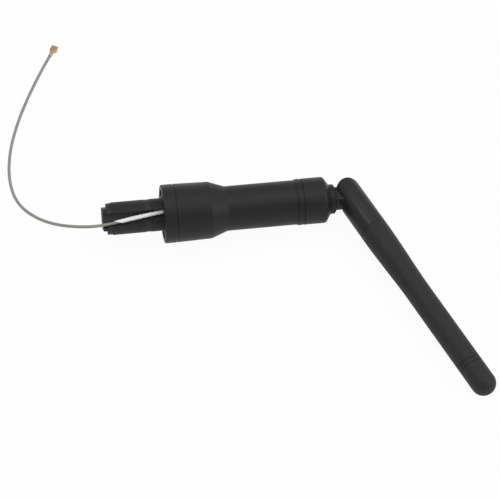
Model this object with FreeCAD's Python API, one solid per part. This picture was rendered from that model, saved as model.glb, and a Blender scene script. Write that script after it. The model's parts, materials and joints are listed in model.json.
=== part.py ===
import FreeCAD, Part

import math
import os

# Folding 2.4 GHz transmitter antenna, in millimetres, lying on its side as it comes to rest.
# Three moving groups: the barrel that is screwed into the transmitter, the knuckle that
# swivels in its nose, and the whip that folds on the knuckle. A thin coaxial pigtail leaves
# the mounting spigot and ends in a snap-on plug.
#
# Barrel frame: X along the barrel towards the nose, X = 0 at the seat on the transmitter.
# Whip frame: X along the whip from the fold pin, Z along the fold pin.

# Fits
press_gap = 0.03
slide_gap = 0.06
ear_gap = 0.15

# Swivel knuckle
journal_radius = 4.0
journal_length = 6.8
flange_rim = 1.3
flange_thickness = 1.95
flange_chamfer = 0.5
neck_width = 5.4
neck_height = 6.5
coax_hole_radius = 0.9
pin_radius = 1.2
pin_inner_end = 1.4
clip_rim = 1.1
clip_groove_depth = 0.7
clip_thickness = 0.6
clip_gap_angle = 70.0
spring_thickness = 0.25
spring_height = 0.55

# Barrel, trim ring and nose, sized from the clip outwards
clip_room = 0.29
plug_wall = 0.9
barrel_wall = 1.6
shoulder_height = 2.15
collar_taper = 0.3
collar_wall = 1.9
nose_step = 0.3
trim_step = 0.25
trim_groove = 0.35
trim_groove_depth = 0.3
trim_rib = 0.5
trim_rib_height = 0.12
nose_lip = 0.1

# Stations along the barrel, from the seat
ring_length = 4.2
shell_groove = 0.4
shell_groove_depth = 0.35
spigot_flange_length = 6.2
collar_bore_end = 15.0
collar_bore_taper = 3.2
collar_front = 16.8
shoulder_length = 5.8
shell_front = 47.4
trim_length = 2.7
trim_plug_length = 3.0
nose_plug_length = 1.7
nose_length = 9.7
nose_cone_length = 1.9
nose_wall = 3.2
fork_room = 0.25

# Rear ring, against the transmitter's case
ring_chamfer = 0.3
ring_rim = 1.8
recess_land = 0.6
recess_depth = 0.5

# Mounting spigot, behind the seat
spigot_radius = 5.8
seat_neck_step = 0.25
spigot_round_end = 18.1
tongue_step = 0.25
tongue_length = 1.7
core_length = 1.5
core_width = 7.8
channel_upper_side = 2.35
channel_lower_side = 1.35
channel_lower_spread = 1.1
channel_mouth_width = 5.4
channel_floor = 3.1
channel_roll = 43.0
band_start = 4.4
band_width = 2.1
band_depth = 0.1
pilot_radius = 1.1
pilot_depth = 8.0
cable_hole_radius = 1.2
cable_hole_v = 1.8
cable_hole_w = 3.95

# Whip, from the fold pin
base_radius = 5.15
ear_overhang = 0.45
ear_end_round = 0.6
slot_room = 0.25
slot_corner = 0.6
pin_seat_depth = 0.75
seam_x = 16.1
base_plug_length = 8.0
base_plug_radius = 3.5
base_straight = 4.0
taper_length = 24.5
tube_radius = 4.4
tube_wall = 0.95
cap_length = 13.3
cap_band_length = 1.7
cap_plug_length = 5.0
cap_hollow_radius = 2.3
cap_end_wall = 8.6
groove_width = 0.28
groove_depth = 0.2

# Antenna element inside the whip
coax_setback = 0.65
element_lead = 1.9
sleeve_length = 25.0
sleeve_radius = 2.3
sleeve_wall = 0.25
radiator_length = 27.5
bared_end = 1.0
tip_room = 14.0
core_wire_radius = 0.15
core_dielectric_radius = 0.36
spacer_thickness = 3.0
spacer_setback = 2.5

# Pigtail
cable_radius = 0.565
jacket_wall = 0.21
jacket_inner_end = 3.4
jacket_outer_end = 17.5
jacket_slant = 67.0
inner_lead = 2.6

# Snap-on plug
plug_head_radius = 1.3
plug_height = 1.25
plug_sheet = 0.2
crimp_length = 1.9
crimp_wall = 0.15
plug_neck_width = 1.5
contact_radius = 0.35
contact_bore = 0.2

# Pose in which the antenna lies: folded by this angle, clockwise seen from above
fold_angle = 68.8

# Route of the pigtail, from inside the spigot to the plug
cable_route = [
    (4.18, -1.30, 4.00),
    (-9.35, -2.61, 3.46),
    (-22.87, -4.42, 2.65),
    (-35.65, -0.12, -0.10),
    (-44.54, 7.87, -4.30),
    (-50.82, 18.62, -8.00),
    (-52.64, 31.57, -10.15),
    (-50.99, 44.86, -10.26),
    (-46.76, 58.24, -10.26),
    (-41.35, 70.55, -10.26),
    (-35.06, 82.89, -10.24),
    (-31.64, 88.56, -10.08),
]

# Route of the cable inside the barrel, as (x, v, w) in the channel's directions
inner_route = [
    (14.5, 1.9, 3.3),
    (26.0, 0.6, 1.2),
    (41.0, 0.0, 0.0),
    (54.5, 0.02, 0.02),
]


clip_outer_radius = journal_radius + clip_rim
clip_groove_radius = journal_radius - clip_groove_depth
nose_cavity = clip_outer_radius + clip_room
nose_plug_radius = nose_cavity + plug_wall
trim_plug_radius = nose_plug_radius + press_gap
barrel_bore = trim_plug_radius + press_gap
barrel_radius = barrel_bore + barrel_wall
trim_radius = barrel_radius + trim_step
nose_radius = barrel_radius + nose_step
collar_front_radius = barrel_radius + shoulder_height
collar_bore = collar_front_radius - collar_wall
ring_radius = collar_front_radius + collar_taper
flange_radius = journal_radius + flange_rim
nose_front_radius = flange_radius + nose_lip

shoulder_end = collar_front + shoulder_length
trim_end = shell_front + trim_length
nose_front = trim_end + nose_length
nose_edge = nose_front - nose_cone_length
nose_wall_back = nose_front - nose_wall
clip_front = nose_wall_back - spring_height - 2 * press_gap
journal_back = nose_front - journal_length
flange_back = nose_front + slide_gap
flange_front = flange_back + flange_thickness
ear_end_radius = base_radius + ear_overhang
hinge_x = flange_front + fork_room + ear_end_radius

seat_neck_radius = spigot_radius + seat_neck_step
tongue_radius = spigot_radius - tongue_step
tongue_end = spigot_round_end + tongue_length
core_end = tongue_end + core_length
recess_inner = seat_neck_radius + recess_land
recess_outer = ring_radius - ring_rim

slot_half_height = neck_height / 2 + ear_gap
slot_reach = neck_width / 2 + slot_room
base_plug_end = seam_x + base_plug_length
base_straight_end = seam_x + base_straight
taper_end = base_straight_end + taper_length
tube_bore = tube_radius - tube_wall
sleeve_start = base_plug_end + element_lead
sleeve_end = sleeve_start + sleeve_length
radiator_end = sleeve_end + radiator_length
whip_length = radiator_end + tip_room
cap_start = whip_length - cap_length
jacket_radius = cable_radius + jacket_wall

# Barrel frame in the resting pose: the collar's front edge and the nose's edge both touch
# the surface, so the axis points down a little.
tilt = math.degrees(math.atan2(collar_front_radius - nose_radius, nose_edge - collar_front))
tilt_sin = math.sin(math.radians(tilt))
tilt_cos = math.cos(math.radians(tilt))
surface_z = -(collar_front_radius * tilt_cos + collar_front * tilt_sin)
barrel_place = FreeCAD.Placement(
    FreeCAD.Vector(0, 0, 0), FreeCAD.Rotation(FreeCAD.Vector(0, 1, 0), tilt))

# The whip's round tip touches the same surface, which sets the swivel angle.
tip_drop = (surface_z + tube_radius + hinge_x * tilt_sin) / (whip_length - tube_radius)
fold_sin = math.sin(math.radians(fold_angle))
fold_cos = math.cos(math.radians(fold_angle))
swivel_sin = (-tip_drop - tilt_sin * fold_cos) / (tilt_cos * fold_sin)
swivel_angle = math.degrees(math.asin(swivel_sin))
swivel_place = barrel_place.multiply(FreeCAD.Placement(
    FreeCAD.Vector(0, 0, 0), FreeCAD.Rotation(FreeCAD.Vector(1, 0, 0), swivel_angle)))
whip_place = swivel_place.multiply(FreeCAD.Placement(
    FreeCAD.Vector(hinge_x, 0, 0), FreeCAD.Rotation(FreeCAD.Vector(0, 0, 1), -fold_angle)))


def vector(x, y, z):
    return FreeCAD.Vector(x, y, z)


def rod(radius, start, end, y=0.0, z=0.0):
    """Cylinder along X."""
    return Part.makeCylinder(radius, end - start, vector(start, y, z), vector(1, 0, 0))


def block(x_start, x_end, y_start, y_end, z_start, z_end):
    return Part.makeBox(x_end - x_start, y_end - y_start, z_end - z_start,
                        vector(x_start, y_start, z_start))


def turned(profile):
    """Solid of revolution about X from (x, radius) points."""
    points = [vector(x, radius, 0) for x, radius in profile]
    face = Part.Face(Part.makePolygon(points + points[:1]))
    return face.revolve(vector(0, 0, 0), vector(1, 0, 0), 360)


def circle_edges_at(shape, x, radius):
    """Round edges about the X axis at one station and radius."""
    found = []
    for edge in shape.Edges:
        curve = edge.Curve
        if not isinstance(curve, Part.Circle):
            continue
        if abs(curve.Center.x - x) < 1e-4 and abs(curve.Radius - radius) < 1e-4:
            found.append(edge)
    return found


def rolled(shape):
    """Turns a shape about the barrel axis to the channel's side: Y becomes v, Z becomes w."""
    return shape.rotated(vector(0, 0, 0), vector(1, 0, 0), channel_roll)


def one_solid(shape):
    """The single solid of a boolean result, with its split faces merged."""
    return shape.removeSplitter().Solids[0]


def placed(shape, place):
    shape.Placement = place.multiply(shape.Placement)
    return shape


def mounting_spigot():
    flange_radius_inside = collar_bore - press_gap
    body = rod(spigot_radius, -spigot_round_end, 0)
    seat_neck = rod(seat_neck_radius, 0, ring_length)
    flange = rod(flange_radius_inside, ring_length, ring_length + spigot_flange_length)
    tongues = rod(tongue_radius, -tongue_end, -spigot_round_end)
    core = rod(tongue_radius, -core_end, -tongue_end).common(
        block(-core_end, -tongue_end, -core_width / 2, core_width / 2,
              -tongue_radius, tongue_radius))
    body = body.fuse([seat_neck, flange, tongues, core])
    band_end = band_start + band_width
    band = rod(spigot_radius + 1, -band_end, -band_start).cut(
        rod(spigot_radius - band_depth, -band_end, -band_start))
    mouth_end = -core_end - 1
    outline = Part.makePolygon([
        vector(0, channel_upper_side, channel_floor),
        vector(mouth_end, channel_upper_side, channel_floor),
        vector(mouth_end, -channel_lower_side - channel_lower_spread, channel_floor),
        vector(0, -channel_lower_side, channel_floor),
        vector(0, channel_upper_side, channel_floor),
    ])
    channel = Part.Face(outline).extrude(vector(0, 0, spigot_radius))
    mouth = block(mouth_end, -tongue_end, -channel_mouth_width / 2,
                  channel_mouth_width / 2, channel_floor, spigot_radius + 1)
    pilot = rod(pilot_radius, -core_end, -core_end + pilot_depth)
    cable_hole = rod(cable_hole_radius, 0, ring_length + spigot_flange_length,
                     cable_hole_v, cable_hole_w)
    return rolled(one_solid(body.cut([band, channel, mouth, pilot, cable_hole])))


def rear_ring():
    bore = seat_neck_radius + press_gap
    ring = rod(ring_radius, 0, ring_length).cut(rod(bore, 0, ring_length))
    recess = rod(recess_outer, 0, recess_depth).cut(rod(recess_inner, 0, recess_depth))
    ring = ring.cut(recess)
    edges = circle_edges_at(ring, 0, ring_radius) + circle_edges_at(ring, ring_length, ring_radius)
    return ring.makeChamfer(ring_chamfer, edges)


def barrel_shell():
    groove_end = ring_length + shell_groove
    return turned([
        (ring_length, collar_bore),
        (ring_length, ring_radius - shell_groove_depth),
        (groove_end, ring_radius - shell_groove_depth),
        (groove_end, ring_radius),
        (collar_front, collar_front_radius),
        (shoulder_end, barrel_radius),
        (shell_front, barrel_radius),
        (shell_front, barrel_bore),
        (collar_bore_end + collar_bore_taper, barrel_bore),
        (collar_bore_end, collar_bore),
    ])


def trim_ring():
    groove_radius = trim_radius - trim_groove_depth
    middle = shell_front + trim_length / 2
    return turned([
        (shell_front - trim_plug_length, nose_cavity),
        (shell_front - trim_plug_length, trim_plug_radius),
        (shell_front, trim_plug_radius),
        (shell_front, groove_radius),
        (shell_front + trim_groove, groove_radius),
        (shell_front + trim_groove, trim_radius),
        (middle - trim_rib / 2, trim_radius),
        (middle - trim_rib / 2, trim_radius + trim_rib_height),
        (middle + trim_rib / 2, trim_radius + trim_rib_height),
        (middle + trim_rib / 2, trim_radius),
        (trim_end - trim_groove, trim_radius),
        (trim_end - trim_groove, groove_radius),
        (trim_end, groove_radius),
        (trim_end, trim_plug_radius),
        (trim_end - nose_plug_length, trim_plug_radius),
        (trim_end - nose_plug_length, nose_cavity),
    ])


def nose_cap():
    plug_start = trim_end - nose_plug_length + press_gap
    bearing = journal_radius + slide_gap
    return turned([
        (plug_start, nose_cavity),
        (plug_start, nose_plug_radius),
        (trim_end, nose_plug_radius),
        (trim_end, nose_radius),
        (nose_edge, nose_radius),
        (nose_front, nose_front_radius),
        (nose_front, bearing),
        (nose_wall_back, bearing),
        (nose_wall_back, nose_cavity),
    ])


def spring_washer():
    """Conical disc spring between the nose's wall and the clip."""
    inner = journal_radius + 2 * slide_gap
    outer = clip_outer_radius - slide_gap
    back = nose_wall_back - press_gap
    rise = spring_height - spring_thickness
    return turned([
        (back - rise - spring_thickness, inner),
        (back - spring_thickness, outer),
        (back, outer),
        (back - rise, inner),
    ])


def neck():
    """Flat-sided neck with a round end about the fold pin."""
    bar = block(flange_front - flange_chamfer, hinge_x, -neck_width / 2, neck_width / 2,
                -neck_height / 2, neck_height / 2)
    end = Part.makeCylinder(neck_width / 2, neck_height, vector(hinge_x, 0, -neck_height / 2))
    return bar.fuse(end)


def knuckle():
    journal = rod(journal_radius, journal_back, flange_back)
    flange = rod(flange_radius, flange_back, flange_front)
    flange = flange.makeChamfer(
        flange_chamfer, circle_edges_at(flange, flange_front, flange_radius))
    body = journal.fuse([flange, neck()])
    groove_back = clip_front - clip_thickness - press_gap
    groove_front = clip_front + press_gap
    groove = rod(journal_radius + 1, groove_back, groove_front)
    groove = groove.cut(rod(clip_groove_radius, groove_back, groove_front))
    coax_hole = rod(coax_hole_radius, journal_back, hinge_x + neck_width)
    pin_hole = Part.makeCylinder(pin_radius + press_gap, neck_height,
                                 vector(hinge_x, 0, -neck_height / 2))
    return one_solid(body.cut([groove, coax_hole, pin_hole]))


def retaining_clip():
    inner = clip_groove_radius + press_gap
    back = clip_front - clip_thickness
    ring = rod(clip_outer_radius, back, clip_front).cut(rod(inner, back, clip_front))
    half_gap = math.radians(clip_gap_angle / 2)
    reach = clip_outer_radius + 1
    wedge = Part.makePolygon([
        vector(back, 0, 0),
        vector(back, -reach * math.sin(half_gap), -reach * math.cos(half_gap)),
        vector(back, reach * math.sin(half_gap), -reach * math.cos(half_gap)),
        vector(back, 0, 0),
    ])
    return one_solid(ring.cut(Part.Face(wedge).extrude(vector(clip_thickness, 0, 0))))


def hinge_pins():
    """Two pin stubs, one in each ear, which leave the middle free for the coax."""
    length = slot_half_height + pin_seat_depth - slide_gap - pin_inner_end
    stubs = []
    for side in (1, -1):
        stub = Part.makeCylinder(pin_radius, length, vector(hinge_x, 0, side * pin_inner_end),
                                 vector(0, 0, side))
        stubs.append(stub)
    return Part.makeCompound(stubs)


def whip_base():
    """Fork that holds the knuckle between two ears, closed on one side and round behind."""
    bar = rod(base_radius, -ear_end_radius - 1, seam_x)
    behind_pin = block(-ear_end_radius - 1, 0, -base_radius, base_radius,
                       -base_radius, base_radius)
    ear_round = Part.makeCylinder(ear_end_radius, 2 * base_radius, vector(0, 0, -base_radius))
    ears = bar.common(behind_pin).common(ear_round)
    body = one_solid(bar.cut(behind_pin).fuse(ears))
    end_edges = [edge for edge in body.Edges if edge.BoundBox.XMax < 0.01]
    body = body.makeFillet(ear_end_round, end_edges)
    plug = rod(base_plug_radius, seam_x, base_plug_end)
    body = body.fuse(plug)
    slot = block(-ear_end_radius - 2, slot_reach, -base_radius - 1, slot_reach,
                 -slot_half_height, slot_half_height)
    inner_edge = [edge for edge in slot.Edges
                  if abs(edge.CenterOfMass.x - slot_reach) < 1e-6
                  and abs(edge.CenterOfMass.y - slot_reach) < 1e-6]
    slot = slot.makeFillet(slot_corner, inner_edge)
    pin_seat = Part.makeCylinder(pin_radius + slide_gap, 2 * (slot_half_height + pin_seat_depth),
                                 vector(0, 0, -slot_half_height - pin_seat_depth))
    coax_hole = rod(coax_hole_radius, 0, base_plug_end)
    return body.cut([slot, pin_seat, coax_hole]).Solids[0]


def radome_tube():
    base_bore = base_plug_radius + press_gap
    base_bore_end = base_plug_end + press_gap
    return turned([
        (seam_x, base_bore),
        (seam_x, base_radius - groove_depth),
        (seam_x + groove_width, base_radius),
        (base_straight_end, base_radius),
        (taper_end, tube_radius),
        (cap_start - groove_width, tube_radius),
        (cap_start - groove_width, tube_radius - groove_depth),
        (cap_start, tube_radius - groove_depth),
        (cap_start, tube_bore),
        (base_bore_end, tube_bore),
        (base_bore_end, base_bore),
    ])


def tip_cap():
    """Closed cap with a half-round end and one groove behind its seam."""
    plug_radius = tube_bore - press_gap
    plug_start = cap_start - cap_plug_length
    groove_start = cap_start + cap_band_length
    hollow_end = whip_length - cap_end_wall
    round_start = whip_length - tube_radius
    corners = [
        (hollow_end, 0),
        (hollow_end, cap_hollow_radius),
        (plug_start, cap_hollow_radius),
        (plug_start, plug_radius),
        (cap_start, plug_radius),
        (cap_start, tube_radius),
        (groove_start, tube_radius),
        (groove_start, tube_radius - groove_depth),
        (groove_start + groove_width, tube_radius - groove_depth),
        (groove_start + groove_width, tube_radius),
        (round_start, tube_radius),
    ]
    points = [vector(x, radius, 0) for x, radius in corners]
    tip = vector(whip_length, 0, 0)
    halfway = tube_radius * math.sqrt(0.5)
    edges = [Part.LineSegment(a, b).toShape() for a, b in zip(points, points[1:])]
    edges.append(Part.Arc(points[-1], vector(round_start + halfway, halfway, 0), tip).toShape())
    edges.append(Part.LineSegment(tip, points[0]).toShape())
    return Part.Face(Part.Wire(edges)).revolve(vector(0, 0, 0), vector(1, 0, 0), 360)


def whip_coax():
    return rod(cable_radius, slot_reach + coax_setback, sleeve_end - sleeve_wall)


def dipole_sleeve():
    """Brass quarter-wave sleeve, closed onto the coax at its far end."""
    return turned([
        (sleeve_start, sleeve_radius - sleeve_wall),
        (sleeve_start, sleeve_radius),
        (sleeve_end, sleeve_radius),
        (sleeve_end, core_dielectric_radius + press_gap),
        (sleeve_end - sleeve_wall, core_dielectric_radius + press_gap),
        (sleeve_end - sleeve_wall, sleeve_radius - sleeve_wall),
    ])


def radiator_dielectric():
    return rod(core_dielectric_radius, sleeve_end - sleeve_wall, radiator_end - bared_end).cut(
        rod(core_wire_radius, sleeve_end - sleeve_wall, radiator_end - bared_end))


def radiator_wire():
    return rod(core_wire_radius, sleeve_end - sleeve_wall, radiator_end)


def sleeve_spacers():
    """Two foam rings that centre the brass sleeve in the tube."""
    inner = sleeve_radius + press_gap
    outer = tube_bore - press_gap
    rings = []
    for start in (sleeve_start + spacer_setback, sleeve_end - spacer_setback - spacer_thickness):
        rings.append(rod(outer, start, start + spacer_thickness).cut(
            rod(inner, start, start + spacer_thickness)))
    return Part.makeCompound(rings)


def radiator_spacer():
    """Foam disc that centres the radiator near its end."""
    end = cap_start - cap_plug_length - spacer_setback
    start = end - spacer_thickness
    return rod(tube_bore - press_gap, start, end).cut(
        rod(core_dielectric_radius + press_gap, start, end))


def route_edges(points, radii):
    """Straight runs joined by tangent arcs, one arc at each inner point."""
    edges = []
    start = points[0]
    for corner, after, radius in zip(points[1:-1], points[2:], radii):
        into = (corner - start).normalize()
        out = (after - corner).normalize()
        half_turn = into.getAngle(out) / 2
        reach = radius * math.tan(half_turn)
        arc_start = corner - into * reach
        arc_end = corner + out * reach
        centre_side = (out - into).normalize()
        middle = corner + centre_side * (radius / math.cos(half_turn) - radius)
        edges.append(Part.LineSegment(start, arc_start).toShape())
        edges.append(Part.Arc(arc_start, middle, arc_end).toShape())
        start = arc_end
    edges.append(Part.LineSegment(start, points[-1]).toShape())
    return edges


def arc_radii(points):
    """Each arc is as large as its two runs allow."""
    radii = []
    for before, corner, after in zip(points, points[1:], points[2:]):
        shorter = min((corner - before).Length, (after - corner).Length)
        half_turn = (corner - before).getAngle(after - corner) / 2
        radii.append(0.45 * shorter / math.tan(half_turn))
    return radii


def swept_tube(edges, radius):
    path = Part.Wire(edges)
    start = edges[0].Vertexes[0].Point
    heading = edges[0].Vertexes[-1].Point - start
    section = Part.Wire(Part.makeCircle(radius, start, heading))
    tube = path.makePipeShell([section], True, False)
    return tube.Solids[0] if tube.Solids else Part.Solid(tube)


def route_points():
    return [vector(*point) for point in cable_route]


def pigtail():
    points = route_points()
    radii = arc_radii(points)
    edges = route_edges(points, radii)
    tube = swept_tube(edges, cable_radius)
    length = sum(edge.Length for edge in edges)
    share = tube.Volume / (math.pi * cable_radius ** 2 * length)
    print("pigtail length", round(length, 1), "radii", [round(radius, 1) for radius in radii],
          "volume share", round(share, 4))
    return tube


def cable_sleeve():
    """White heat-shrink sleeve on the cable, cut at a slant where it ends."""
    points = route_points()
    edges = route_edges(points, arc_radii(points))[:4]
    jacket = swept_tube(edges, jacket_radius).cut(swept_tube(edges, cable_radius))
    reach = jacket_outer_end + spigot_radius
    inside_end = block(jacket_inner_end, jacket_inner_end + reach, -reach, reach, -reach, reach)
    slant = FreeCAD.Placement(
        vector(-jacket_outer_end, 0, 0), FreeCAD.Rotation(vector(0, 0, 1), jacket_slant))
    roll = FreeCAD.Placement(vector(0, 0, 0), FreeCAD.Rotation(vector(1, 0, 0), channel_roll))
    outside_end = block(-2 * reach, 0, -reach, reach, -reach, reach)
    outside_end.Placement = roll.multiply(slant)
    cuts = [placed(inside_end, barrel_place), placed(outside_end, barrel_place)]
    return one_solid(jacket.cut(cuts))


def barrel_coax():
    """Cable inside the barrel, from the spigot to the back of the journal."""
    back_to_barrel = barrel_place.inverse()
    points = route_points()
    start = back_to_barrel.multVec(points[0])
    first_run = start - back_to_barrel.multVec(points[1])
    roll = FreeCAD.Rotation(vector(1, 0, 0), channel_roll)
    inner = [start, start + first_run.normalize() * inner_lead]
    inner += [roll.multVec(vector(*point)) for point in inner_route]
    return swept_tube(route_edges(inner, arc_radii(inner)), cable_radius)


def plug_frame():
    """Placement of the plug: X along the cable's last run, Z up, origin at the cable's end."""
    points = route_points()
    along = (points[-1] - points[-2]).normalize()
    return FreeCAD.Placement(
        points[-1], FreeCAD.Rotation(along, vector(0, 0, 1).cross(along), vector(0, 0, 1), "XZY"))


def plug_axis_x():
    return crimp_length - cable_radius + plug_head_radius


def plug_floor_z():
    """Height of the plug's mouth under the cable's end."""
    return surface_z - cable_route[-1][2]


def plug_shell():
    """Round can with a folded lid, two lugs and a crimped neck round the cable."""
    centre = plug_axis_x()
    floor = plug_floor_z()
    top = floor + plug_height
    can = Part.makeCylinder(plug_head_radius, plug_height, vector(centre, 0, floor))
    hollow = Part.makeCylinder(plug_head_radius - plug_sheet, plug_height - plug_sheet,
                               vector(centre, 0, floor))
    lid = block(centre - plug_head_radius, centre + plug_head_radius, -plug_head_radius,
                plug_head_radius, top - plug_sheet, top)
    neck_block = block(cable_radius, centre - plug_head_radius + plug_sheet,
                       -plug_neck_width / 2, plug_neck_width / 2, top - 3 * plug_sheet, top)
    crimp = rod(cable_radius + crimp_wall, -crimp_length / 2, crimp_length / 2)
    body = can.fuse([lid, neck_block, crimp])
    cable_way = rod(cable_radius, -crimp_length, crimp_length / 2)
    return one_solid(body.cut([hollow, cable_way]))


def plug_insulator():
    centre = plug_axis_x()
    top = plug_floor_z() + plug_height - plug_sheet - press_gap
    disc = Part.makeCylinder(plug_head_radius - plug_sheet - press_gap, 2 * plug_sheet,
                             vector(centre, 0, top - 2 * plug_sheet))
    return disc.cut(Part.makeCylinder(contact_radius + press_gap, 3 * plug_sheet,
                                      vector(centre, 0, top - 3 * plug_sheet)))


def plug_contact():
    centre = plug_axis_x()
    top = plug_floor_z() + plug_height - plug_sheet - press_gap
    bottom = plug_floor_z() + plug_sheet
    return Part.makeCylinder(contact_radius, top - bottom, vector(centre, 0, bottom)).cut(
        Part.makeCylinder(contact_bore, top - bottom - plug_sheet, vector(centre, 0, bottom)))


def main():
    os.makedirs("parts", exist_ok=True)
    groups = [
        (barrel_place, [mounting_spigot, rear_ring, barrel_shell, trim_ring, nose_cap,
                        spring_washer, barrel_coax]),
        (FreeCAD.Placement(), [pigtail, cable_sleeve]),
        (plug_frame(), [plug_shell, plug_insulator, plug_contact]),
        (swivel_place, [knuckle, retaining_clip, hinge_pins]),
        (whip_place, [whip_base, radome_tube, tip_cap, whip_coax, dipole_sleeve,
                      radiator_dielectric, radiator_wire, sleeve_spacers, radiator_spacer]),
    ]
    for place, makers in groups:
        for maker in makers:
            shape = placed(maker(), place)
            shape.exportStep(os.path.join("parts", maker.__name__ + ".step"))
            print(maker.__name__, shape.isValid(), len(shape.Solids), round(shape.Volume, 2))


if __name__ == "__main__":
    main()
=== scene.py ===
import json
import math

import bmesh
import bpy
from mathutils import Matrix, Vector, noise


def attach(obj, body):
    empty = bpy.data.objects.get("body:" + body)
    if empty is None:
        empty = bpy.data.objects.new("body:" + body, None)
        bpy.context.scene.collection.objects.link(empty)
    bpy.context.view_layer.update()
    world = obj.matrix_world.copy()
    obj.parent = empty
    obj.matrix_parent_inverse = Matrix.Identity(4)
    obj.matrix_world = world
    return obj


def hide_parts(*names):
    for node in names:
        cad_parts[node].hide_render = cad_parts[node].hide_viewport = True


# Folding 2.4 GHz transmitter antenna, lying on a white table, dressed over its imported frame.
# Sizes in the dictionaries are millimetres. Barrel pieces are drawn along the barrel with
# x = 0 at the seat, whip pieces along the whip with x = 0 at the fold pin.
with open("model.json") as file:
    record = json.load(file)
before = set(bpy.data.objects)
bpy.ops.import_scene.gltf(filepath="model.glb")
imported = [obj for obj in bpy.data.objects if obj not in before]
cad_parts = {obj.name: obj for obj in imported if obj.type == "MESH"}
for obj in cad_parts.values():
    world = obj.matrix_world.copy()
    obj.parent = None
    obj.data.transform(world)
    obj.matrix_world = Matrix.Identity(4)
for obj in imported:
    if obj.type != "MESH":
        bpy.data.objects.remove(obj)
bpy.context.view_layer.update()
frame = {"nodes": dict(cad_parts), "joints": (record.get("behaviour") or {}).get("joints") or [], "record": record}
nodes = frame["nodes"]
joints = {joint["name"]: joint for joint in frame["joints"]}
print("frame loaded,", len(nodes), "nodes")


# Where the three moving groups lie

barrelAxis = Vector(joints["swivel"]["axis"]).normalized()
pinAxis = Vector(joints["fold"]["axis"]).normalized()
pinCentre = Vector(joints["fold"]["pos_m"])
foldedBy = math.radians(joints["fold"]["range_deg"][1])     # the whip is straight at that limit


def lieAlong(origin, along, upward):
    # millimetres on a piece to metres in the frame
    across = upward.cross(along).normalized()
    turn = Matrix((along, across, along.cross(across))).transposed().to_4x4()
    return Matrix.Translation(origin) @ turn @ Matrix.Scale(0.001, 4)


barrelLie = lieAlong(Vector((0, 0, 0)), barrelAxis, Vector((0, 0, 1)))
whipAxis = Matrix.Rotation(-foldedBy, 3, pinAxis) @ barrelAxis
whipLie = lieAlong(pinCentre, whipAxis, pinAxis)


# Camera, fitted to the photograph: 54 degrees above the table

view = {
    "stands": (-43.41, -508.71, 679.18),
    "looksAt": (29.53, -12.2, -10.83),
    "lens": 172.8,
    "sensor": 36.0,
    "nearClip": 10.0,
}


def placeCamera(size):
    camera = bpy.data.objects.new("tableCamera", bpy.data.cameras.new("tableCamera"))
    bpy.context.scene.collection.objects.link(camera)
    camera.data.lens = size["lens"]
    camera.data.sensor_width = size["sensor"]
    camera.data.clip_start = 0.001 * size["nearClip"]
    stands = Vector(size["stands"]) * 0.001
    looks = Vector(size["looksAt"]) * 0.001 - stands
    camera.location = stands
    camera.rotation_euler = looks.to_track_quat("-Z", "Y").to_euler()
    bpy.context.scene.camera = camera


placeCamera(view)
print("camera placed")


# Materials

def hexColour(code):
    # sRGB hex to the linear colour that the sockets take
    parts = [int(code[i:i + 2], 16) / 255 for i in (1, 3, 5)]
    return [c / 12.92 if c <= 0.04045 else ((c + 0.055) / 1.055) ** 2.4 for c in parts] + [1.0]


def addNode(tree, kind, settings=None, values=None, links=None):
    # one node with its settings, socket values and incoming links
    node = tree.nodes.new(kind)
    for key, value in (settings or {}).items():
        setattr(node, key, value)
    for key, value in (values or {}).items():
        node.inputs[key].default_value = value
    for key, source in (links or {}).items():
        tree.links.new(source, node.inputs[key])
    return node


def startMaterial(name):
    material = bpy.data.materials.new(name)
    material.use_nodes = True
    tree = material.node_tree
    shader = tree.nodes["Principled BSDF"]
    place = addNode(tree, "ShaderNodeTexCoord")
    return material, tree, shader, place.outputs["Object"]


def inBox(tree, place, box):
    # 1 inside a box that is drawn in millimetres on a group's own lie, and 0 outside it
    mask = None
    for axis in range(3):
        direction = box["lie"].col[axis].to_3d().normalized()
        start = box["lie"].translation.dot(direction)
        low, high = [0.001 * box[end][axis] for end in ("low", "high")]
        reach = addNode(tree, "ShaderNodeVectorMath", {"operation": "DOT_PRODUCT"}, {
            1: direction}, {0: place}).outputs["Value"]
        inside = addNode(tree, "ShaderNodeMath", {"operation": "COMPARE"}, {
            1: start + (low + high) / 2, 2: (high - low) / 2}, {0: reach}).outputs[0]
        if mask is None:
            mask = inside
        else:
            mask = addNode(tree, "ShaderNodeMath", {"operation": "MULTIPLY"}, {}, {
                0: mask, 1: inside}).outputs[0]
    return mask


noiseSpan = (0.3, 0.7)      # nearly all values of a noise texture lie between these

# Injection-moulded ABS: the mould was spark eroded, so the skin is a fine even grain that
# breaks the light into a soft satin. The real grain is about 0.1 mm; it is drawn at 0.3 mm,
# because one pixel is 0.36 mm wide. Handling leaves broad patches that are a little shinier.
mouldedSkin = {
    "ior": 1.53, "grainDetail": 2.0, "grainRoughness": 0.6, "patchSize": 9.0,
    "patchDetail": 3.0, "patchSpread": 0.05, "bumpHeight": 0.04,
}


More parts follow.
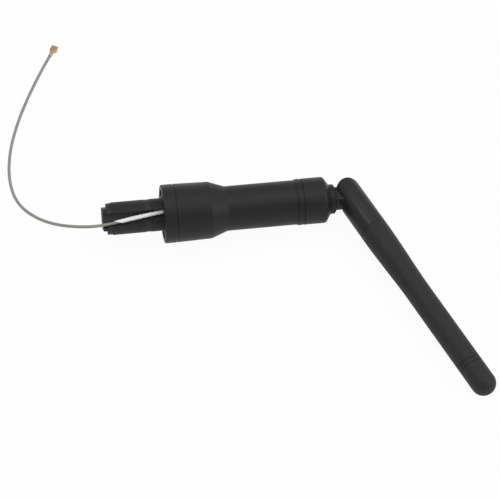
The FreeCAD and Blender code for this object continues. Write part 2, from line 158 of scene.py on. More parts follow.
def mouldedPlastic(name, colour, roughness, grain, grainDepth, gloss=0.2, pale=()):
    material, tree, shader, place = startMaterial(name)
    shader.inputs["IOR"].default_value = mouldedSkin["ior"]
    shader.inputs["Specular IOR Level"].default_value = gloss
    fine = addNode(tree, "ShaderNodeTexNoise", values={
        "Scale": 1000 / grain, "Detail": mouldedSkin["grainDetail"],
        "Roughness": mouldedSkin["grainRoughness"]}, links={"Vector": place})
    broad = addNode(tree, "ShaderNodeTexNoise", values={
        "Scale": 1000 / mouldedSkin["patchSize"], "Detail": mouldedSkin["patchDetail"]},
        links={"Vector": place})
    handled = addNode(tree, "ShaderNodeMapRange", values={
        "From Min": noiseSpan[0], "From Max": noiseSpan[1],
        "To Min": roughness - mouldedSkin["patchSpread"],
        "To Max": roughness + mouldedSkin["patchSpread"]}, links={"Value": broad.outputs["Fac"]})
    tint = addNode(tree, "ShaderNodeMix", {"data_type": "RGBA"}, {
        6: hexColour(colour[0]), 7: hexColour(colour[1])}, {0: fine.outputs["Fac"]})
    bump = addNode(tree, "ShaderNodeBump", values={
        "Strength": grainDepth, "Distance": 0.001 * mouldedSkin["bumpHeight"]},
        links={"Height": fine.outputs["Fac"]})
    skin = tint.outputs[2]
    for box in pale:
        # a stretch painted paler than the rest: painted fill light in the shaded hollows, and plain paler bands on
        # the spigot
        skin = addNode(tree, "ShaderNodeMix", {"data_type": "RGBA"}, {
            7: hexColour(box["colour"])}, {0: inBox(tree, place, box), 6: skin}).outputs[2]
    tree.links.new(skin, shader.inputs["Base Color"])
    tree.links.new(handled.outputs["Result"], shader.inputs["Roughness"])
    tree.links.new(bump.outputs["Normal"], shader.inputs["Normal"])
    return material


# FEP cable jacket: extruded, smooth and slightly waxy, with the faint ripple of the braid
# under it, so its sheen comes in small broken dashes.
fepSkin = {
    "ior": 1.34, "roughness": 0.36, "ripple": 0.7, "rippleDetail": 1.0, "cloud": 5.0,
    "cloudDetail": 2.0, "bumpStrength": 0.35, "bumpHeight": 0.04,
}


def extrudedFep(name, colour):
    material, tree, shader, place = startMaterial(name)
    shader.inputs["IOR"].default_value = fepSkin["ior"]
    shader.inputs["Roughness"].default_value = fepSkin["roughness"]
    ripple = addNode(tree, "ShaderNodeTexNoise", values={
        "Scale": 1000 / fepSkin["ripple"], "Detail": fepSkin["rippleDetail"]},
        links={"Vector": place})
    cloud = addNode(tree, "ShaderNodeTexNoise", values={
        "Scale": 1000 / fepSkin["cloud"], "Detail": fepSkin["cloudDetail"]},
        links={"Vector": place})
    tint = addNode(tree, "ShaderNodeMix", {"data_type": "RGBA"}, {
        6: hexColour(colour[0]), 7: hexColour(colour[1])}, {0: cloud.outputs["Fac"]})
    bump = addNode(tree, "ShaderNodeBump", values={
        "Strength": fepSkin["bumpStrength"], "Distance": 0.001 * fepSkin["bumpHeight"]},
        links={"Height": ripple.outputs["Fac"]})
    tree.links.new(tint.outputs[2], shader.inputs["Base Color"])
    tree.links.new(bump.outputs["Normal"], shader.inputs["Normal"])
    return material


# Heat-shrunk polyolefin: chalky white and soft to the eye, with faint rings where it has
# drawn down onto the cable.
shrunkSkin = {
    "ior": 1.5, "roughness": 0.48, "ring": 1.6, "ringDetail": 2.0, "bumpStrength": 0.3,
    "bumpHeight": 0.06,
}


def heatShrink(name, colour):
    material, tree, shader, place = startMaterial(name)
    shader.inputs["IOR"].default_value = shrunkSkin["ior"]
    shader.inputs["Roughness"].default_value = shrunkSkin["roughness"]
    rings = addNode(tree, "ShaderNodeTexNoise", values={
        "Scale": 1000 / shrunkSkin["ring"], "Detail": shrunkSkin["ringDetail"]},
        links={"Vector": place})
    tint = addNode(tree, "ShaderNodeMix", {"data_type": "RGBA"}, {
        6: hexColour(colour[0]), 7: hexColour(colour[1])}, {0: rings.outputs["Fac"]})
    bump = addNode(tree, "ShaderNodeBump", values={
        "Strength": shrunkSkin["bumpStrength"], "Distance": 0.001 * shrunkSkin["bumpHeight"]},
        links={"Height": rings.outputs["Fac"]})
    tree.links.new(tint.outputs[2], shader.inputs["Base Color"])
    tree.links.new(bump.outputs["Normal"], shader.inputs["Normal"])
    return material


# Bare and plated metals: stamped, drawn or turned, so fine scratches run across the sheen.
metalSkin = {
    "scratchDetail": 3.0, "scratchRoughness": 0.7, "wear": 0.07, "bumpStrength": 0.15,
    "bumpHeight": 0.02,
}


def workedMetal(name, colour, roughness, scratch):
    material, tree, shader, place = startMaterial(name)
    shader.inputs["Metallic"].default_value = 1.0
    marks = addNode(tree, "ShaderNodeTexNoise", values={
        "Scale": 1000 / scratch, "Detail": metalSkin["scratchDetail"],
        "Roughness": metalSkin["scratchRoughness"]}, links={"Vector": place})
    worn = addNode(tree, "ShaderNodeMapRange", values={
        "From Min": noiseSpan[0], "From Max": noiseSpan[1],
        "To Min": roughness - metalSkin["wear"], "To Max": roughness + metalSkin["wear"]},
        links={"Value": marks.outputs["Fac"]})
    tint = addNode(tree, "ShaderNodeMix", {"data_type": "RGBA"}, {
        6: hexColour(colour[0]), 7: hexColour(colour[1])}, {0: marks.outputs["Fac"]})
    bump = addNode(tree, "ShaderNodeBump", values={
        "Strength": metalSkin["bumpStrength"], "Distance": 0.001 * metalSkin["bumpHeight"]},
        links={"Height": marks.outputs["Fac"]})
    tree.links.new(tint.outputs[2], shader.inputs["Base Color"])
    tree.links.new(worn.outputs["Result"], shader.inputs["Roughness"])
    tree.links.new(bump.outputs["Normal"], shader.inputs["Normal"])
    return material


# Closed-cell polyethylene foam: tiny bubbles about 0.5 mm across, fully matt.
foamSkin = {"roughness": 0.9, "cell": 0.5, "bumpStrength": 0.6, "bumpHeight": 0.1}


def closedCellFoam(name, colour):
    material, tree, shader, place = startMaterial(name)
    shader.inputs["Roughness"].default_value = foamSkin["roughness"]
    cells = addNode(tree, "ShaderNodeTexVoronoi", values={"Scale": 1000 / foamSkin["cell"]},
                    links={"Vector": place})
    tint = addNode(tree, "ShaderNodeMix", {"data_type": "RGBA"}, {
        6: hexColour(colour[0]), 7: hexColour(colour[1])}, {0: cells.outputs["Distance"]})
    bump = addNode(tree, "ShaderNodeBump", values={
        "Strength": foamSkin["bumpStrength"], "Distance": 0.001 * foamSkin["bumpHeight"]},
        links={"Height": cells.outputs["Distance"]})
    tree.links.new(tint.outputs[2], shader.inputs["Base Color"])
    tree.links.new(bump.outputs["Normal"], shader.inputs["Normal"])
    return material


# Paler stretches of the mouldings, as boxes in millimetres: two bands across the spigot, and painted
# fill light in the shaded cable's trough, the slot and hole of the fork, and the neck's side in the fork's shade
spigotRoll = 43.0           # degrees that the trough is turned towards the front
rolledLie = barrelLie @ Matrix.Rotation(math.radians(spigotRoll), 4, "X")
# two paler bands across the spigot
paleBands = [
    {"lie": barrelLie, "low": (-19.8, -9, -9), "high": (-18.1, 9, 9), "colour": "#302f2e"},
    {"lie": barrelLie, "low": (-6.5, -9, -9), "high": (-4.4, 9, 9), "colour": "#313030"},
]
# painted fill light: the trough's floor and walls lie in shade and are painted paler
troughPaintedFill = {
    "lie": rolledLie, "low": (-30, -2.55, 2.9), "high": (0, 2.55, 5.1), "colour": "#3b3c3b",
}
# painted fill light: the fork's slot and the hole in it lie in deep shade and are painted paler
forkSlotPaintedFill = {
    "lie": whipLie, "low": (-9, -9, -3.45), "high": (3.0, 3.0, 3.45), "colour": "#505150",
}
forkHolePaintedFill = {
    "lie": whipLie, "low": (2.9, -1.3, -1.3), "high": (5.0, 1.3, 1.3), "colour": "#434443",
}
# painted fill light: the neck's side in the shade of the fork is painted paler
neckPaintedFill = {
    "lie": barrelLie, "low": (64.2, -9, -9), "high": (75, 9, 9), "colour": "#4a4b4a",
}

# One finish for each material slot, and two variants of the black moulding for the pieces
# with paler stretches, most of them painted fill light. Grain and scratch sizes are millimetres.
finishes = {
    "black_moulding": mouldedPlastic(
        "satinMouldedAbs", ("#212322", "#272928"), roughness=0.42, grain=0.32,
        grainDepth=0.5),
    # paler bands, and painted fill light in the shaded trough
    "spigot_moulding": mouldedPlastic(
        "spigotAbsBandsPaintedFill", ("#1f2120", "#252726"), roughness=0.5, grain=0.32,
        grainDepth=0.5, pale=[*paleBands, troughPaintedFill]),
    # painted fill light on the neck's shaded side
    "knuckle_moulding": mouldedPlastic(
        "knuckleAbsPaintedFill", ("#212322", "#272928"), roughness=0.42, grain=0.32,
        grainDepth=0.5, pale=[neckPaintedFill]),
    # painted fill light in the shaded slot and hole of the fork
    "whip_moulding": mouldedPlastic(
        "polishedMouldedAbsPaintedFill", ("#232524", "#282a29"), roughness=0.36, grain=0.32,
        grainDepth=0.22, gloss=0.22, pale=[forkSlotPaintedFill, forkHolePaintedFill]),
    # overmoulded elastomer: rubbery to the eye, so duller and a touch paler than the ABS
    "whip_tube": mouldedPlastic(
        "softTouchElastomer", ("#282a29", "#2e302f"), roughness=0.54, grain=0.3,
        grainDepth=0.6),
    "coax_jacket": extrudedFep("greyFepJacket", ("#8b8984", "#a09e98")),
    "white_sleeve": heatShrink("whiteHeatShrink", ("#fbfbf8", "#ffffff")),
    "gold_plate": workedMetal(
        "goldPlatedBronze", ("#dcc3a0", "#b08f6e"), roughness=0.26, scratch=0.3),
    "spring_steel": workedMetal(
        "springSteel", ("#b4b4b2", "#9c9c9a"), roughness=0.32, scratch=0.3),
    "element_brass": workedMetal(
        "drawnBrass", ("#d8b878", "#c7a25f"), roughness=0.3, scratch=0.5),
    "copper_wire": workedMetal(
        "bareCopper", ("#d99a78", "#c5825f"), roughness=0.3, scratch=0.3),
    # turned PTFE: waxy white, with faint tool marks
    "white_insulator": mouldedPlastic(
        "naturalPtfe", ("#e9e8e2", "#f4f3ee"), roughness=0.45, grain=0.4, grainDepth=0.2),
    "grey_foam": closedCellFoam("greyFoam", ("#4a4a4a", "#6a6a6a")),
}
print("materials made,", len(finishes))


# Making pieces

def finishPiece(name, mesh, lie, body, slotName, replaced, sharpAt=35, variant=None):
    # the place goes into the mesh, so the object stays at the origin
    if lie is not None:
        mesh.transform(lie)
    mesh.shade_smooth()
    mesh.set_sharp_from_angle(angle=math.radians(sharpAt))
    mesh.materials.clear()
    mesh.materials.append(finishes[variant or slotName])
    piece = bpy.data.objects.new(name, mesh)
    bpy.context.scene.collection.objects.link(piece)
    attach(piece, body)
    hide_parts(*replaced)
    return piece


def roundCorners(corners, arcSteps=6, hold=0.05, roomShare=0.45):
    # (x, radius, rounding) corners to an outline with true arcs; a held point before and
    # after each arc keeps the flats flat in the shading, and an arc takes up no more than
    # roomShare of the shorter side
    outline = []
    count = len(corners)
    for i, (x, radius, rounding) in enumerate(corners):
        here = Vector((x, radius))
        if rounding <= 0:
            outline.append(here)
            continue
        before = Vector(corners[i - 1][:2])
        after = Vector(corners[(i + 1) % count][:2])
        into = (here - before).normalized()
        out = (after - here).normalized()
        half = into.angle(out) / 2
        room = roomShare * min((here - before).length, (after - here).length)
        reach = min(rounding * math.tan(half), room)
        rounding = reach / math.tan(half)
        centre = here + (out - into).normalized() * (rounding / math.cos(half))
        start = here - into * reach
        if room - reach > hold:
            outline.append(start - into * hold)
        swing = start - centre
        sign = 1 if into.cross(out) > 0 else -1
        for step in range(arcSteps + 1):
            turn = Matrix.Rotation(sign * 2 * half * step / arcSteps, 2)
            outline.append(centre + turn @ swing)
        if room - reach > hold:
            outline.append(here + out * (reach + hold))
    return outline


def turnOutline(name, outline, sides):
    # closed outline, clear of the X axis, turned round it
    shape = bmesh.new()
    turns = [2 * math.pi * k / sides for k in range(sides)]
    rings = [[shape.verts.new((x, radius * math.cos(t), radius * math.sin(t))) for t in turns]
             for x, radius in outline]
    for ring, after in zip(rings, rings[1:] + rings[:1]):
        for k in range(sides):
            n = (k + 1) % sides
            shape.faces.new((ring[k], after[k], after[n], ring[n]))
    bmesh.ops.recalc_face_normals(shape, faces=shape.faces)
    mesh = bpy.data.meshes.new(name)
    shape.to_mesh(mesh)
    shape.free()
    return mesh


softEdges = {"plug": 0.05, "spigot": 0.12, "knuckle": 0.22, "whipBase": 0.1}
softCopy = {
    "mergeWithin": 0.002, "flatWithin": 0.4, "softenFrom": 28.0, "segments": 3, "profile": 0.5,
}


def softenedCopy(name, nodeName, softening):
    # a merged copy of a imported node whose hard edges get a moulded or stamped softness
    shape = bmesh.new()
    shape.from_mesh(nodes[nodeName].data)
    bmesh.ops.remove_doubles(shape, verts=shape.verts, dist=0.001 * softCopy["mergeWithin"])
    bmesh.ops.dissolve_limit(shape, angle_limit=math.radians(softCopy["flatWithin"]),
                             verts=shape.verts, edges=shape.edges)
    hard = [edge for edge in shape.edges if edge.is_manifold
            and edge.calc_face_angle() > math.radians(softCopy["softenFrom"])]
    bmesh.ops.bevel(shape, geom=hard, offset=0.001 * softening, offset_type="OFFSET",
                    segments=softCopy["segments"], profile=softCopy["profile"],
                    affect="EDGES", clamp_overlap=True)
    mesh = bpy.data.meshes.new(name)
    shape.to_mesh(mesh)
    shape.free()
    return mesh


# Pigtail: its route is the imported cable's own, and the line is one smooth spline

cable = {
    "diameter": 1.13,
    "length": 140.5,
    "route": [
        (4.18, -1.30, 4.00), (-9.35, -2.61, 3.46), (-22.87, -4.42, 2.65),
        (-35.65, -0.12, -0.10), (-44.54, 7.87, -4.30), (-50.82, 18.62, -8.00),
        (-52.64, 31.57, -10.15), (-50.99, 44.86, -10.26), (-46.76, 58.24, -10.26),
        (-41.35, 70.55, -10.26), (-35.06, 82.89, -10.24), (-31.64, 88.56, -10.08),
    ],
    "splineOrder": 3, "stepsPerPoint": 24, "roundness": 6,
}
sleeve = {
    "radius": 0.775, "bore": 0.572, "innerEnd": 3.4, "outerEnd": 18.8, "slant": 72.0,
    "spare": 6.0, "wrinkle": 0.018, "wrinklesPerMetre": 900, "sides": 40,
}


def cableLine(size, thickness):
    line = bpy.data.curves.new("pigtail", "CURVE")
    line.dimensions = "3D"
    spline = line.splines.new("NURBS")
    spline.points.add(len(size["route"]) - 1)
    for point, spot in zip(spline.points, size["route"]):
        point.co = [0.001 * c for c in spot] + [1.0]
    spline.order_u = size["splineOrder"]
    spline.use_endpoint_u = True
    spline.use_smooth = True
    line.resolution_u = size["stepsPerPoint"]
    line.bevel_depth = 0.001 * thickness / 2
    line.bevel_resolution = size["roundness"]
    line.use_fill_caps = thickness > 0
    piece = bpy.data.objects.new("pigtail", line)
    bpy.context.scene.collection.objects.link(piece)
    return piece


def splinePoints(size):
    bare = cableLine(size, 0)
    bpy.context.view_layer.update()
    seen = bare.evaluated_get(bpy.context.evaluated_depsgraph_get())
    mesh = bpy.data.meshes.new_from_object(seen)
    spots = [vertex.co.copy() for vertex in mesh.vertices]
    bpy.data.objects.remove(bare)
    return spots


def makeSleeve(size, spots):
    # a short tube round the cable, wrinkled a little, cut off square inside the spigot and
    # at a slant outside
    side = Matrix.Rotation(math.radians(spigotRoll), 3, barrelAxis) @ Vector((0, 1, 0))
    slant = math.radians(size["slant"])
    cutAcross = barrelAxis * math.cos(slant) + side * math.sin(slant)
    cutAt = barrelAxis * (-0.001 * size["outerEnd"])
    run = [spot for spot in spots if 0.001 * size["innerEnd"] > spot.dot(barrelAxis)
           > -0.001 * (size["outerEnd"] + size["spare"])]
    shape = bmesh.new()
    walls = []
    for wall, radius in enumerate((size["radius"], size["bore"])):
        rings = []
        for i, spot in enumerate(run):
            heading = (run[min(i + 1, len(run) - 1)] - run[max(i - 1, 0)]).normalized()
            upward = (Vector((0, 0, 1)) - heading * heading.z).normalized()
            across = heading.cross(upward)
            ring = []
            for k in range(size["sides"]):
                turn = 2 * math.pi * k / size["sides"]
                out = upward * math.cos(turn) + across * math.sin(turn)
                wave = noise.noise(spot * size["wrinklesPerMetre"] + out) if wall == 0 else 0
                ring.append(shape.verts.new(
                    spot + out * 0.001 * (radius + size["wrinkle"] * wave)))
            rings.append(ring)
        walls.append(rings)
        for ring, after in zip(rings, rings[1:]):
            for k in range(size["sides"]):
                n = (k + 1) % size["sides"]
                shape.faces.new((ring[k], ring[n], after[n], after[k]))
    for k in range(size["sides"]):
        n = (k + 1) % size["sides"]
        shape.faces.new((walls[0][0][k], walls[0][0][n], walls[1][0][n], walls[1][0][k]))
    cut = bmesh.ops.bisect_plane(shape, geom=shape.verts[:] + shape.edges[:] + shape.faces[:],
                                 plane_co=cutAt, plane_no=cutAcross, clear_inner=True)
    rim = [item for item in cut["geom_cut"] if isinstance(item, bmesh.types.BMEdge)]
    bmesh.ops.bridge_loops(shape, edges=rim)
    bmesh.ops.recalc_face_normals(shape, faces=shape.faces)
    if shape.calc_volume(signed=True) < 0:
        bmesh.ops.reverse_faces(shape, faces=shape.faces)
    mesh = bpy.data.meshes.new("cableSleeve")
    shape.to_mesh(mesh)
    shape.free()
    return finishPiece("cableSleeve", mesh, None, "barrel", "white_sleeve", ["cable_sleeve"])


pigtail = cableLine(cable, cable["diameter"])
pigtail.data.materials.append(finishes["coax_jacket"])
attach(pigtail, "barrel")
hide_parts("pigtail")
sleevePiece = makeSleeve(sleeve, splinePoints(cable))
plugMesh = softenedCopy("plugShell", "plug_shell", softEdges["plug"])
plugPiece = finishPiece("plugShell", plugMesh, None, "barrel", "gold_plate", ["plug_shell"],
                        sharpAt=40)
print("pigtail, sleeve and plug made")


# Barrel: rear ring, shell, trim ring and nose, each turned from its own rounded outline

barrel = {
    "ringRadius": 10.4, "ringLength": 4.2, "ringRounding": 0.45, "ringBore": 6.08,
    "recessInner": 6.65, "recessOuter": 8.6, "recessDepth": 0.5,
    "recessLip": 0.08, "recessFloor": 0.15, "recessRim": 0.1, "ringFront": 0.12,
    "grooveLength": 0.4, "grooveDepth": 0.22, "grooveFloor": 0.1, "grooveRim": 0.16,
    "collarFront": 16.8, "collarFrontRadius": 10.1, "collarRounding": 2.6,
    "shoulderEnd": 22.6, "shoulderRounding": 3.2, "radius": 7.95, "bore": 6.35,
    "front": 47.4, "frontRounding": 0.1, "shellArcSteps": 10, "sides": 144,
}
trim = {
    "start": 47.4, "length": 2.7, "radius": 8.2, "edgeGroove": 0.35, "edgeDepth": 0.3,
    "rib": 0.5, "ribHeight": 0.12, "bore": 6.35, "rounding": 0.08,
    "arcSteps": 4, "hold": 0.02,
}
nose = {
    "start": 50.1, "edge": 57.9, "front": 59.8, "radius": 8.25, "frontRadius": 5.4,
    "bore": 4.1, "rearRounding": 0.12, "edgeRounding": 1.2, "frontRounding": 0.2,
}


def makeRearRing(size):
    length, radius = size["ringLength"], size["ringRadius"]
    corners = [
        (0, size["ringBore"], 0), (0, size["recessInner"], size["recessLip"]),
        (size["recessDepth"], size["recessInner"], size["recessFloor"]),
        (size["recessDepth"], size["recessOuter"], size["recessFloor"]),
        (0, size["recessOuter"], size["recessRim"]), (0, radius, size["ringRounding"]),
        (length, radius, size["ringFront"]), (length, size["ringBore"], 0),
    ]
    mesh = turnOutline("rearRing", roundCorners(corners), size["sides"])
    return finishPiece("rearRing", mesh, barrelLie, "barrel", "black_moulding", ["rear_ring"])


def makeShell(size):
    start = size["ringLength"]
    grooveEnd = start + size["grooveLength"]
    grooveRadius = size["ringRadius"] - size["grooveDepth"]
    corners = [
        (start, size["bore"], 0), (start, grooveRadius, 0),
        (grooveEnd, grooveRadius, size["grooveFloor"]),
        (grooveEnd, size["ringRadius"], size["grooveRim"]),
        (size["collarFront"], size["collarFrontRadius"], size["collarRounding"]),
        (size["shoulderEnd"], size["radius"], size["shoulderRounding"]),
        (size["front"], size["radius"], size["frontRounding"]), (size["front"], size["bore"], 0),
    ]
    outline = roundCorners(corners, size["shellArcSteps"])
    mesh = turnOutline("barrelShell", outline, size["sides"])
    return finishPiece("barrelShell", mesh, barrelLie, "barrel", "black_moulding",
                       ["barrel_shell"])


def makeTrimRing(size, sides):
    start, end = size["start"], size["start"] + size["length"]
    middle, half = (start + end) / 2, size["rib"] / 2
    low, radius = size["radius"] - size["edgeDepth"], size["radius"]
    soft = size["rounding"]
    corners = [
        (start, size["bore"], 0), (start, low, 0), (start + size["edgeGroove"], low, soft),
        (start + size["edgeGroove"], radius, soft), (middle - half, radius, soft),
        (middle - half, radius + size["ribHeight"], soft),
        (middle + half, radius + size["ribHeight"], soft), (middle + half, radius, soft),
        (end - size["edgeGroove"], radius, soft), (end - size["edgeGroove"], low, soft),
        (end, low, 0), (end, size["bore"], 0),
    ]
    mesh = turnOutline("trimRing", roundCorners(corners, size["arcSteps"], size["hold"]), sides)
    return finishPiece("trimRing", mesh, barrelLie, "barrel", "black_moulding", ["trim_ring"])


def makeNose(size, sides):
    corners = [
        (size["start"], size["bore"], 0), (size["start"], size["radius"], size["rearRounding"]),
        (size["edge"], size["radius"], size["edgeRounding"]),
        (size["front"], size["frontRadius"], size["frontRounding"]),
        (size["front"], size["bore"], 0),
    ]
    mesh = turnOutline("noseCap", roundCorners(corners), sides)
    return finishPiece("noseCap", mesh, barrelLie, "barrel", "black_moulding", ["nose_cap"])


makeRearRing(barrel)
makeShell(barrel)
makeTrimRing(trim, barrel["sides"])
makeNose(nose, barrel["sides"])
print("barrel made")


# Mounting spigot and swivel knuckle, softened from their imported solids

spigotMesh = softenedCopy("mountingSpigot", "mounting_spigot", softEdges["spigot"])
finishPiece("mountingSpigot", spigotMesh, None, "barrel", "black_moulding",
            ["mounting_spigot"], sharpAt=40, variant="spigot_moulding")
knuckleMesh = softenedCopy("swivelKnuckle", "knuckle", softEdges["knuckle"])
finishPiece("swivelKnuckle", knuckleMesh, None, "knuckle", "black_moulding", ["knuckle"],
            sharpAt=40, variant="knuckle_moulding")
print("spigot and knuckle made")


# Whip base: glossier moulding with the fork

baseMesh = softenedCopy("whipBase", "whip_base", softEdges["whipBase"])
finishPiece("whipBase", baseMesh, None, "whip", "whip_moulding", ["whip_base"], sharpAt=40)
print("whip base made")


# Whip tube and tip cap: one rule gives the radius at each station of a line along the whip,
# and a circle is swept along it

whip = {
    "seam": 16.1, "straightEnd": 20.1, "taperEnd": 44.6, "capSeam": 79.2, "bandEnd": 80.9,
    "end": 92.5, "baseRadius": 5.15, "tubeRadius": 4.4, "grooveHalf": 0.16,
    "grooveDepth": 0.22, "grooveSteps": 5, "domeSteps": 24, "step": 1.5, "sides": 96,
    "mergeWithin": 0.001,
}


def radiusTree():
    tree = bpy.data.node_groups.new("whipRadiusRule", "GeometryNodeTree")
    face = tree.interface
    face.new_socket("Geometry", in_out="INPUT", socket_type="NodeSocketGeometry")
    for label in ("Base radius", "Tube radius", "Straight end", "Taper end", "Tip end",
                  "First groove", "Second groove", "Groove half width", "Groove depth"):
        face.new_socket(label, in_out="INPUT", socket_type="NodeSocketFloat")
    face.new_socket("Sides", in_out="INPUT", socket_type="NodeSocketInt")
    face.new_socket("Finish", in_out="INPUT", socket_type="NodeSocketMaterial")
    face.new_socket("Geometry", in_out="OUTPUT", socket_type="NodeSocketGeometry")
    given = addNode(tree, "NodeGroupInput").outputs
    place = addNode(tree, "GeometryNodeInputPosition")
    split = addNode(tree, "ShaderNodeSeparateXYZ", links={0: place.outputs[0]})
    along = split.outputs["X"]

    # taper: the mean of a straight cone and an eased fall, so it starts and ends softly
    falls = [addNode(tree, "ShaderNodeMapRange", {"interpolation_type": kind}, {}, {
        "Value": along, "From Min": given["Straight end"], "From Max": given["Taper end"],
        "To Min": given["Base radius"], "To Max": given["Tube radius"]}).outputs["Result"]
        for kind in ("LINEAR", "SMOOTHSTEP")]
    bothFalls = addNode(tree, "ShaderNodeMath", {"operation": "ADD"}, {}, {
        0: falls[0], 1: falls[1]}).outputs[0]
    radius = addNode(tree, "ShaderNodeMath", {"operation": "MULTIPLY"}, {1: 0.5}, {
        0: bothFalls}).outputs[0]
    # grooves: each takes a soft-sided notch out of the radius
    for label in ("First groove", "Second groove"):
        offset = addNode(tree, "ShaderNodeMath", {"operation": "SUBTRACT"}, {}, {
            0: along, 1: given[label]}).outputs[0]
        away = addNode(tree, "ShaderNodeMath", {"operation": "ABSOLUTE"}, {}, {
            0: offset}).outputs[0]
        notch = addNode(tree, "ShaderNodeMapRange", {"interpolation_type": "SMOOTHSTEP"}, {
            "From Min": 0.0, "To Max": 0.0}, {
            "Value": away, "From Max": given["Groove half width"],
            "To Min": given["Groove depth"]}).outputs["Result"]
        radius = addNode(tree, "ShaderNodeMath", {"operation": "SUBTRACT"}, {}, {
            0: radius, 1: notch}).outputs[0]
    # tip: past the start of the dome the radius follows a quarter circle, which stops just
    # short of nothing so that the last ring keeps its shape until it is merged
    domeStart = addNode(tree, "ShaderNodeMath", {"operation": "SUBTRACT"}, {}, {
        0: given["Tip end"], 1: given["Tube radius"]}).outputs[0]
    beyond = addNode(tree, "ShaderNodeMath", {"operation": "SUBTRACT"}, {}, {
        0: along, 1: domeStart}).outputs[0]
    into = addNode(tree, "ShaderNodeMath", {"operation": "MAXIMUM"}, {1: 0.0}, {
        0: beyond}).outputs[0]
    share = addNode(tree, "ShaderNodeMath", {"operation": "DIVIDE"}, {}, {
        0: into, 1: given["Tube radius"]}).outputs[0]
    almost = addNode(tree, "ShaderNodeMath", {"operation": "MINIMUM"}, {1: 0.99999}, {
        0: share}).outputs[0]
    square = addNode(tree, "ShaderNodeMath", {"operation": "MULTIPLY"}, {}, {
        0: almost, 1: almost}).outputs[0]
    left = addNode(tree, "ShaderNodeMath", {"operation": "SUBTRACT"}, {0: 1.0}, {
        1: square}).outputs[0]
    quarter = addNode(tree, "ShaderNodeMath", {"operation": "SQRT"}, {}, {0: left}).outputs[0]
    radius = addNode(tree, "ShaderNodeMath", {"operation": "MULTIPLY"}, {}, {
        0: radius, 1: quarter}).outputs[0]

    line = addNode(tree, "GeometryNodeMeshToCurve", links={"Mesh": given["Geometry"]})
    circle = addNode(tree, "GeometryNodeCurvePrimitiveCircle", values={"Radius": 1.0},
                     links={"Resolution": given["Sides"]})
    sweep = addNode(tree, "GeometryNodeCurveToMesh", values={"Fill Caps": True}, links={
        "Curve": line.outputs[0], "Profile Curve": circle.outputs["Curve"], "Scale": radius})
    real = addNode(tree, "GeometryNodeRealizeInstances", links={0: sweep.outputs[0]})
    painted = addNode(tree, "GeometryNodeSetMaterial", links={
        "Geometry": real.outputs[0], "Material": given["Finish"]})
    addNode(tree, "NodeGroupOutput", links={0: painted.outputs[0]})
    return tree


def sweepByRule(name, tree, stations, inputs, mergeWithin):
    line = bpy.data.meshes.new(name + "Line")
    line.from_pydata([(x, 0, 0) for x in stations],
                     [(i, i + 1) for i in range(len(stations) - 1)], [])
    carrier = bpy.data.objects.new(name + "Line", line)
    bpy.context.scene.collection.objects.link(carrier)
    modifier = carrier.modifiers.new("radiusRule", "NODES")
    modifier.node_group = tree
    for item in tree.interface.items_tree:
        if item.item_type == "SOCKET" and item.in_out == "INPUT" and item.name in inputs:
            modifier[item.identifier] = inputs[item.name]
    bpy.context.view_layer.update()
    seen = carrier.evaluated_get(bpy.context.evaluated_depsgraph_get())
    mesh = bpy.data.meshes.new_from_object(seen)
    carrier.modifiers.remove(modifier)
    bpy.data.objects.remove(carrier)
    shape = bmesh.new()
    shape.from_mesh(mesh)
    bmesh.ops.remove_doubles(shape, verts=shape.verts, dist=mergeWithin)
    bmesh.ops.recalc_face_normals(shape, faces=shape.faces)
    shape.to_mesh(mesh)
    shape.free()
    return mesh


def stationsAlong(size, start, end, grooves, domeStart=None):
    # close together at the grooves, and by equal angles round the dome
    marks = [start, end]
    stop = domeStart if domeStart else end
    step, half, fine = size["step"], size["grooveHalf"], size["grooveSteps"]
    marks += [start + step * k for k in range(1, int((stop - start) / step) + 1)]
    for groove in grooves:
        marks += [groove + half * k / fine for k in range(-fine - 2, fine + 3)]
    marks = [x for x in marks if start <= x <= stop]
    if domeStart:
        turns = [math.radians(90 * k / size["domeSteps"]) for k in range(size["domeSteps"] + 1)]
        marks += [domeStart + (end - domeStart) * math.sin(t) for t in turns]
    return sorted(set(round(x, 4) for x in marks))


def makeWhip(size, tree):
    shared = {
        "Base radius": size["baseRadius"], "Tube radius": size["tubeRadius"],
        "Straight end": size["straightEnd"], "Taper end": size["taperEnd"],
        "Tip end": size["end"], "First groove": size["capSeam"],
        "Groove half width": size["grooveHalf"], "Groove depth": size["grooveDepth"],
        "Sides": size["sides"], "Finish": finishes["whip_tube"],
    }
    seams = [size["seam"], size["capSeam"]]
    stations = stationsAlong(size, size["seam"], size["capSeam"], seams)
    mesh = sweepByRule("whipTube", tree, stations,
                       {**shared, "Second groove": size["seam"]}, size["mergeWithin"])
    finishPiece("whipTube", mesh, whipLie, "whip", "whip_tube", ["radome_tube"])
    domeStart = size["end"] - size["tubeRadius"]
    grooves = [size["capSeam"], size["bandEnd"]]
    stations = stationsAlong(size, size["capSeam"], size["end"], grooves, domeStart)
    mesh = sweepByRule("tipCap", tree, stations,
                       {**shared, "Second groove": size["bandEnd"]}, size["mergeWithin"])
    finishPiece("tipCap", mesh, whipLie, "whip", "whip_tube", ["tip_cap"])


makeWhip(whip, radiusTree())
print("whip tube and tip made")


# Hidden works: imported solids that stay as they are, in their own finishes

for part in frame["record"]["subparts"]:
    packed = nodes[part["node"]]
    for place in packed.material_slots:
        place.material = finishes[part["material_slot"]]
print("packed nodes finished")


# White table, soft lamps

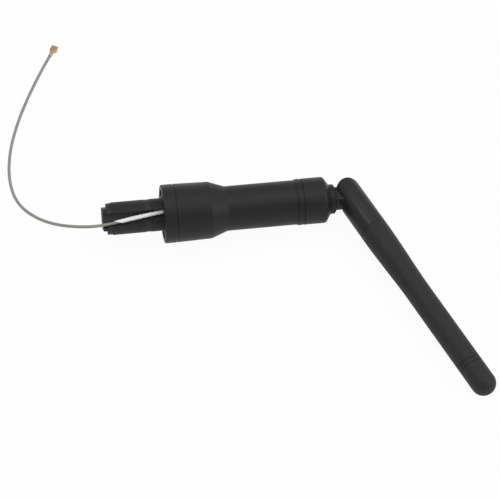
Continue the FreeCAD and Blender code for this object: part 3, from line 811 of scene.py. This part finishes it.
studio = {
    "tableTop": -10.8452,
    "tableHalf": 20000.0,
    "paper": "#f6f6f6",
    "white": "#ffffff",
    # how much of the table is plain white to each kind of ray
    "tableWhite": {"Is Camera Ray": 0.95, "Is Glossy Ray": 0.55, "Is Transmission Ray": 0.95},
    # lamps hang at places in metres from the seat, and their sizes are metres too
    "lamps": [
        {"name": "wideSoftbox", "at": (0.4, 0.0, 1.2), "size": (1.4, 1.4), "watts": 5.2},
        {"name": "smallSoftbox", "at": (-0.42, 0.1, 1.16), "size": (0.4, 0.4), "watts": 1.8},
        {"name": "sideSoftbox", "at": (1.05, -0.5, 0.7), "size": (0.8, 0.8), "watts": 3.5},
    ],
    "worldBack": 0.62,
    "worldFront": 0.54,
    "worldTurn": (0.0, 0.75, 0.66),       # towards the brighter back
    "worldReach": (0.0, 0.9),
    "opening": (-0.12, -0.70, 0.70),      # the dark mouth of the light tent, where one looks in
    "openingEdge": (0.8, 0.97),           # cosines of its soft edge
    "openingLevel": 0.28,
}


def makeTable(size):
    half = 0.001 * size["tableHalf"]
    top = 0.001 * size["tableTop"]
    mesh = bpy.data.meshes.new("tableTop")
    mesh.from_pydata([(-half, -half, top), (half, -half, top), (half, half, top),
                      (-half, half, top)], [], [(0, 1, 2, 3)])
    table = bpy.data.objects.new("tableTop", mesh)
    bpy.context.scene.collection.objects.link(table)
    material = bpy.data.materials.new("whitePaperTable")
    material.use_nodes = True
    tree = material.node_tree
    tree.nodes.clear()
    paper = addNode(tree, "ShaderNodeBsdfDiffuse", values={"Color": hexColour(size["paper"])})
    bright = addNode(tree, "ShaderNodeEmission", values={"Color": hexColour(size["white"])})
    seen = addNode(tree, "ShaderNodeLightPath")
    share = None
    for ray, amount in size["tableWhite"].items():
        part = addNode(tree, "ShaderNodeMath", {"operation": "MULTIPLY"}, {1: amount}, {
            0: seen.outputs[ray]}).outputs[0]
        if share is None:
            share = part
        else:
            share = addNode(tree, "ShaderNodeMath", {"operation": "MAXIMUM"}, {}, {
                0: share, 1: part}).outputs[0]
    mix = addNode(tree, "ShaderNodeMixShader", links={
        0: share, 1: paper.outputs[0], 2: bright.outputs[0]})
    addNode(tree, "ShaderNodeOutputMaterial", links={0: mix.outputs[0]})
    mesh.materials.append(material)


def hangLamps(size):
    for lamp in size["lamps"]:
        light = bpy.data.lights.new(lamp["name"], "AREA")
        light.shape = "RECTANGLE"
        light.size, light.size_y = lamp["size"]
        light.energy = lamp["watts"]
        piece = bpy.data.objects.new(lamp["name"], light)
        bpy.context.scene.collection.objects.link(piece)
        # it shines at the object, with its width level with the table's X
        backward = Vector(lamp["at"]).normalized()
        upward = backward.cross(Vector((1, 0, 0))).normalized()
        turn = Matrix((upward.cross(backward), upward, backward)).transposed()
        piece.matrix_world = Matrix.Translation(lamp["at"]) @ turn.to_4x4()


def makeWorld(size):
    world = bpy.data.worlds.new("plainStudio")
    bpy.context.scene.world = world
    world.use_nodes = True
    tree = world.node_tree
    tree.nodes.clear()
    place = addNode(tree, "ShaderNodeTexCoord")
    towards = addNode(tree, "ShaderNodeVectorMath", {"operation": "DOT_PRODUCT"}, {
        1: size["worldTurn"]}, {0: place.outputs["Generated"]})
    level = addNode(tree, "ShaderNodeMapRange", values={
        "From Min": size["worldReach"][0], "From Max": size["worldReach"][1],
        "To Min": size["worldFront"], "To Max": size["worldBack"]},
        links={"Value": towards.outputs["Value"]})
    inward = addNode(tree, "ShaderNodeVectorMath", {"operation": "DOT_PRODUCT"}, {
        1: Vector(size["opening"]).normalized()}, {0: place.outputs["Generated"]})
    mouth = addNode(tree, "ShaderNodeMapRange", values={
        "From Min": size["openingEdge"][0], "From Max": size["openingEdge"][1], "To Min": 1.0,
        "To Max": size["openingLevel"]}, links={"Value": inward.outputs["Value"]})
    both = addNode(tree, "ShaderNodeMath", {"operation": "MULTIPLY"}, {}, {
        0: level.outputs["Result"], 1: mouth.outputs["Result"]})
    # seen straight on, the wall behind the table is plain white
    seen = addNode(tree, "ShaderNodeLightPath")
    shown = addNode(tree, "ShaderNodeMath", {"operation": "MAXIMUM"}, {}, {
        0: both.outputs[0], 1: seen.outputs["Is Camera Ray"]})
    back = addNode(tree, "ShaderNodeBackground", values={"Color": hexColour(size["white"])},
                   links={"Strength": shown.outputs[0]})
    addNode(tree, "ShaderNodeOutputWorld", links={0: back.outputs[0]})


makeTable(studio)
hangLamps(studio)
makeWorld(studio)
bpy.context.scene.view_settings.view_transform = "Standard"
print("table, lamps and world made")
